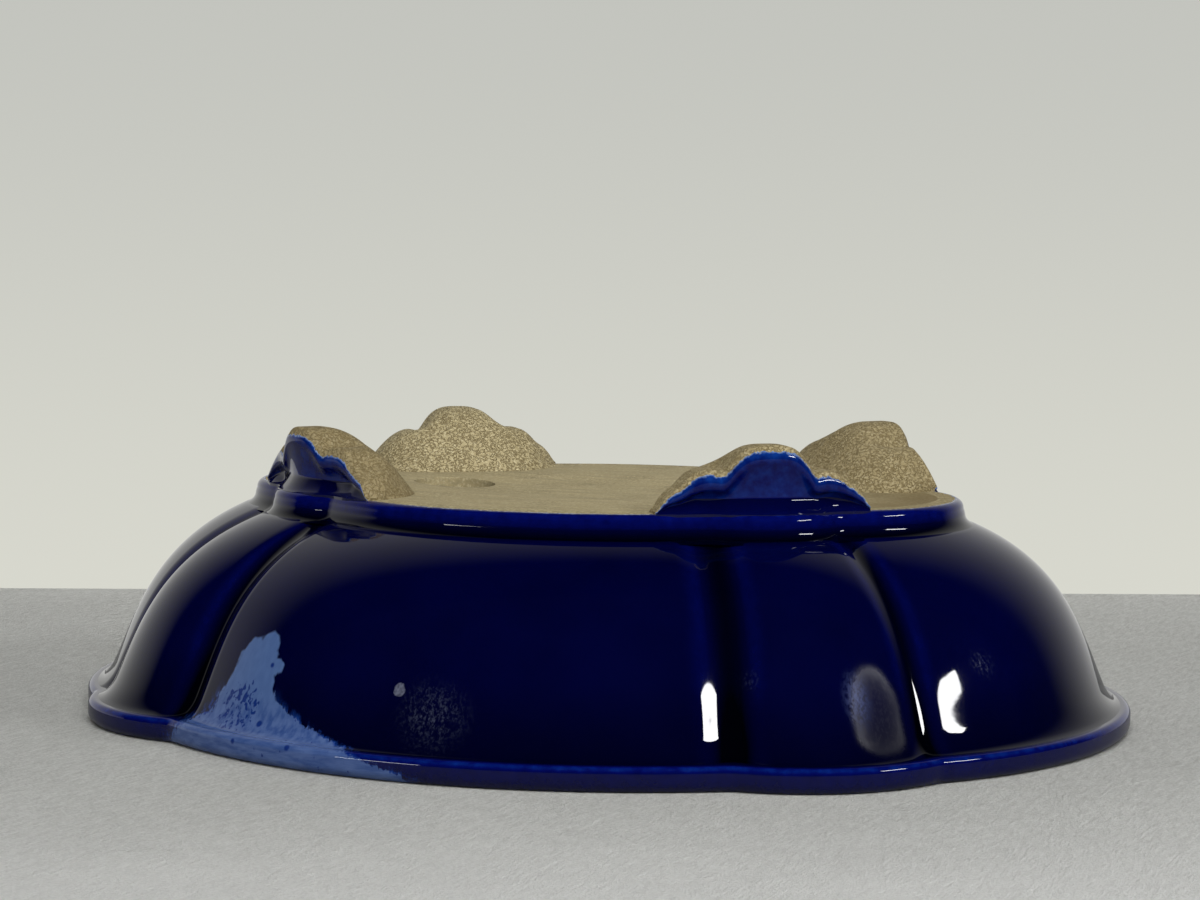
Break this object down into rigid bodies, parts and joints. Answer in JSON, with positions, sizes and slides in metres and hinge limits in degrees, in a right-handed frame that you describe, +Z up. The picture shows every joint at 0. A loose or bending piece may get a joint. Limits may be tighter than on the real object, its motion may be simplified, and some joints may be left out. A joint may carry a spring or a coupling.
{
  "type": "mokko bonsai pot",
  "caption": "Shallow lobed ceramic bonsai pot with a rolled lip, drain holes and cloud-scroll feet, lying rim down, glazed outside and bare clay beneath.",
  "frame": {"origin": "centre of the mouth in the plane of the rim's face, which is the surface the pot lies on upside down", "axes": "+X along the pot's long axis, +Y along its short axis, +Z up from the rim's face towards the feet. The pot lies rim down with its feet in the air, as pictured. In use it is turned over and stands on the feet."},
  "size_m": [0.25, 0.2102, 0.067],
  "materials": {
    "glaze": "gloss cobalt-blue glaze, near black where thick and brighter blue where thin on edges",
    "clay": "bare khaki-grey stoneware with a fine dark speckle"
  },
  "bodies": {
    "root": {"wall": "glaze", "rim_lip": "glaze", "base_band": "glaze", "floor_slab": "clay", "foot_front_left": "clay", "foot_front_right": "clay", "foot_back_left": "clay", "foot_back_right": "clay"}
  },
  "joints": []
}
